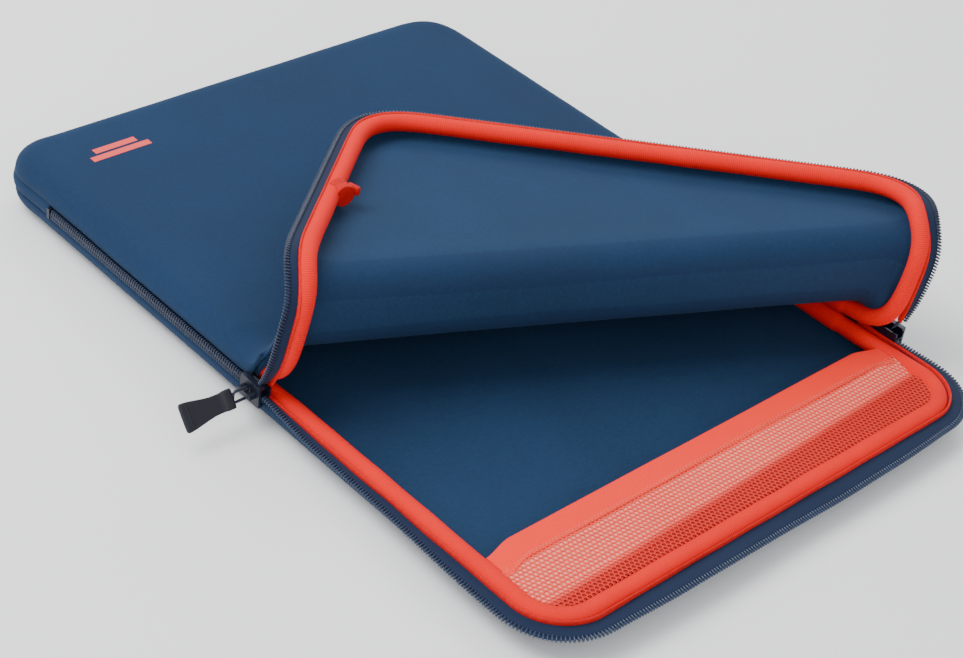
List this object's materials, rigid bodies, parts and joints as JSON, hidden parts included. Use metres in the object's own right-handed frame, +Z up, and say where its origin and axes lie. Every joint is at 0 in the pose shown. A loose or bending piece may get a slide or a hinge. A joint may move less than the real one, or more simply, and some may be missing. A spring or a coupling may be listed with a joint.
{
  "type": "laptop sleeve",
  "caption": "Padded fabric laptop sleeve lying flat, its U-shaped zip partly open and the free corner of the front panel rolled back over its padded rim.",
  "frame": {"origin": "centre of the underside, where the sleeve rests on a table", "axes": "+Z up, +Y along the sleeve towards its closed end, +X across it to the right of the open end"},
  "size_m": [0.3251, 0.3596, 0.0731],
  "materials": {
    "navy_jersey": "matte jersey",
    "neoprene_foam": "closed-cell foam",
    "blue_jersey": "matte jersey",
    "coral_knit": "ribbed knit",
    "coral_binding": "folded knit",
    "denim_tape": "woven tape",
    "zip_coil": "satin nylon coil",
    "coral_mesh": "hexagonal net",
    "coral_elastic": "smooth elastic band",
    "coral_thread": "thread",
    "coral_print": "screen print",
    "slider_paint": "satin paint",
    "link_steel": "satin paint",
    "navy_rubber": "matte moulded rubber"
  },
  "bodies": {
    "sleeve": {"base_foam": "neoprene_foam", "base_lining": "blue_jersey", "base_outer_shell": "navy_jersey", "base_rim_binding": "coral_binding", "base_rim_cover": "coral_knit", "base_rim_padding": "neoprene_foam", "base_zip_coil": "zip_coil", "base_zip_tape": "denim_tape", "end_seam_binding": "coral_binding", "end_spine": "navy_jersey", "front_foam": "neoprene_foam", "front_lining": "blue_jersey", "front_outer_shell": "navy_jersey", "front_rim_cover": "coral_knit", "front_rim_padding": "neoprene_foam", "front_zip_coil": "zip_coil", "front_zip_tape": "denim_tape", "pocket_hem": "coral_elastic", "pocket_mesh": "coral_mesh", "pocket_stitching": "coral_thread", "printed_mark": "coral_print", "zip_end_stops": "zip_coil"},
    "roll": {"roll_foam": "neoprene_foam", "roll_lining": "blue_jersey", "roll_outer_shell": "navy_jersey", "roll_rim": "coral_knit"},
    "flap": {"flap_foam": "neoprene_foam", "flap_lining": "blue_jersey", "flap_outer_shell": "navy_jersey", "flap_rim_binding": "coral_binding", "flap_rim_cover": "coral_knit", "flap_rim_padding": "neoprene_foam", "flap_rim_tab": "coral_binding", "flap_zip_coil": "zip_coil", "flap_zip_tape": "denim_tape"},
    "slider_left": {"slider_left_body": "slider_paint", "slider_left_bridge": "slider_paint"},
    "slider_right": {"slider_right_body": "slider_paint", "slider_right_bridge": "slider_paint"},
    "puller_left": {"slider_left_link": "link_steel", "slider_left_puller": "navy_rubber"},
    "puller_right": {"slider_right_link": "link_steel", "slider_right_puller": "navy_rubber"}
  },
  "joints": [
    {"name": "flap_fold", "type": "hinge", "parent": "sleeve", "child": "roll", "pos_m": [0.00256, -0.06008, 0.03138], "axis": [0.9042, -0.427, 0], "range_deg": [0, 94], "deforming": ["roll_foam", "roll_lining", "roll_outer_shell", "roll_rim"]},
    {"name": "flap_tip_fold", "type": "hinge", "parent": "roll", "child": "flap", "pos_m": [0.00337, -0.05837, 0.05838], "axis": [0.9042, -0.427, 0], "range_deg": [0, 94]},
    {"name": "slider_left_travel", "type": "slide", "parent": "sleeve", "child": "slider_left", "axis": [0, 1, 0], "range_m": [0, 0.135]},
    {"name": "slider_right_travel", "type": "slide", "parent": "sleeve", "child": "slider_right", "axis": [0, 1, 0], "range_m": [0, 0.254]},
    {"name": "puller_left_swing", "type": "hinge", "parent": "slider_left", "child": "puller_left", "pos_m": [-0.1299, -0.006, 0.0145], "axis": [0, 0, 1], "range_deg": [-60, 60]},
    {"name": "puller_right_swing", "type": "hinge", "parent": "slider_right", "child": "puller_right", "pos_m": [0.1299, -0.125, 0.0145], "axis": [0, 0, 1], "range_deg": [-120, 0]}
  ],
  "couplings": [
    {"joint": "flap_tip_fold", "follows": "flap_fold", "ratio": 1}
  ]
}
